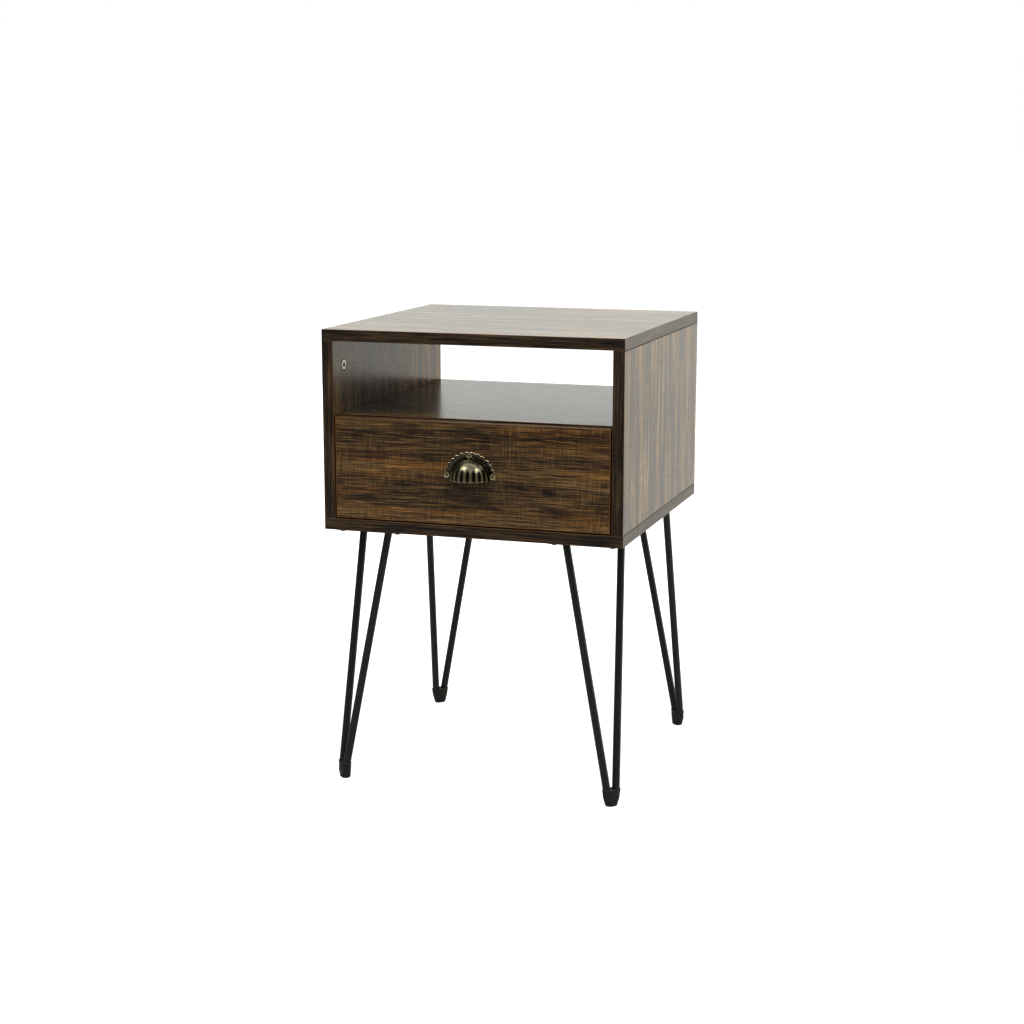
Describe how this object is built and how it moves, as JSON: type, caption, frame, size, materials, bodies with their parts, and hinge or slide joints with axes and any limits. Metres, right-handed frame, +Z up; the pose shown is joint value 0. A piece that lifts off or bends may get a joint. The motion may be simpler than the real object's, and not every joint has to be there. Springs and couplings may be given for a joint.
{
  "type": "side table with drawer",
  "caption": "Square side table on splayed hairpin legs, with an open shelf over a drawer that runs on roller slides and has a shell cup pull.",
  "frame": {"origin": "on the floor, under the middle of the whole table with its pull", "axes": "+Z up, the drawer's front looks towards -Y, +X to the right as seen from the front"},
  "size_m": [0.4, 0.423, 0.6],
  "materials": {
    "walnut_board": "walnut-grain melamine, satin",
    "walnut_edging": "walnut-grain edge strip, satin",
    "drawer_board": "plain walnut foil, matt",
    "hardboard": "hardboard, matt",
    "beech": "plain, fluted",
    "zinc": "zinc plated",
    "leg_steel": "black powder coat, satin",
    "rail_steel": "white epoxy coat",
    "roller_nylon": "white nylon, satin",
    "antique_brass": "antique brass, dark patina",
    "foot_rubber": "black rubber, matt"
  },
  "bodies": {
    "cabinet": {"back_left_foot": "foot_rubber", "back_left_leg_plate": "leg_steel", "back_left_leg_rod": "leg_steel", "back_panel": "walnut_board", "back_right_foot": "foot_rubber", "back_right_leg_plate": "leg_steel", "back_right_leg_rod": "leg_steel", "bottom_edging": "walnut_edging", "bottom_panel": "walnut_board", "case_cam_bolts": "zinc", "case_cam_locks": "zinc", "case_dowels": "beech", "case_rail_screws": "zinc", "case_roller_rivets": "zinc", "front_left_foot": "foot_rubber", "front_left_leg_plate": "leg_steel", "front_left_leg_rod": "leg_steel", "front_right_foot": "foot_rubber", "front_right_leg_plate": "leg_steel", "front_right_leg_rod": "leg_steel", "left_case_rail": "rail_steel", "left_side_edging": "walnut_edging", "left_side_panel": "walnut_board", "leg_screws": "zinc", "right_case_rail": "rail_steel", "right_side_edging": "walnut_edging", "right_side_panel": "walnut_board", "shelf_edging": "walnut_edging", "shelf_panel": "walnut_board", "side_hole_plugs": "zinc", "top_edging": "walnut_edging", "top_panel": "walnut_board"},
    "drawer": {"drawer_front": "walnut_board", "drawer_front_edging": "walnut_edging", "drawer_left_side": "drawer_board", "drawer_right_side": "drawer_board", "drawer_back": "drawer_board", "drawer_bottom": "hardboard", "drawer_cam_locks": "zinc", "drawer_cam_bolts": "zinc", "drawer_back_screws": "zinc", "cup_pull": "antique_brass", "cup_pull_screws": "antique_brass", "left_drawer_rail": "rail_steel", "right_drawer_rail": "rail_steel", "drawer_rail_screws": "zinc", "drawer_roller_rivets": "zinc"},
    "left_case_roller": {"left_case_roller": "roller_nylon"},
    "right_case_roller": {"right_case_roller": "roller_nylon"},
    "left_drawer_roller": {"left_drawer_roller": "roller_nylon"},
    "right_drawer_roller": {"right_drawer_roller": "roller_nylon"}
  },
  "joints": [
    {"name": "drawer_slide", "type": "slide", "parent": "cabinet", "child": "drawer", "axis": [0, -1, 0], "range_m": [0, 0.26]},
    {"name": "left_case_roller_turn", "type": "hinge", "parent": "cabinet", "child": "left_case_roller", "pos_m": [-0.18, -0.1605, 0.3683], "axis": [1, 0, 0], "range_deg": [0, 1700]},
    {"name": "left_drawer_roller_turn", "type": "hinge", "parent": "drawer", "child": "left_drawer_roller", "pos_m": [-0.1775, 0.1655, 0.3683], "axis": [1, 0, 0], "range_deg": [0, 1700]},
    {"name": "right_case_roller_turn", "type": "hinge", "parent": "cabinet", "child": "right_case_roller", "pos_m": [0.18, -0.1605, 0.3683], "axis": [1, 0, 0], "range_deg": [0, 1700]},
    {"name": "right_drawer_roller_turn", "type": "hinge", "parent": "drawer", "child": "right_drawer_roller", "pos_m": [0.1775, 0.1655, 0.3683], "axis": [1, 0, 0], "range_deg": [0, 1700]}
  ],
  "couplings": [
    {"joint": "left_case_roller_turn", "follows": "drawer_slide", "rad_per_m": 113.64},
    {"joint": "left_drawer_roller_turn", "follows": "drawer_slide", "rad_per_m": 113.64},
    {"joint": "right_case_roller_turn", "follows": "drawer_slide", "rad_per_m": 113.64},
    {"joint": "right_drawer_roller_turn", "follows": "drawer_slide", "rad_per_m": 113.64}
  ]
}
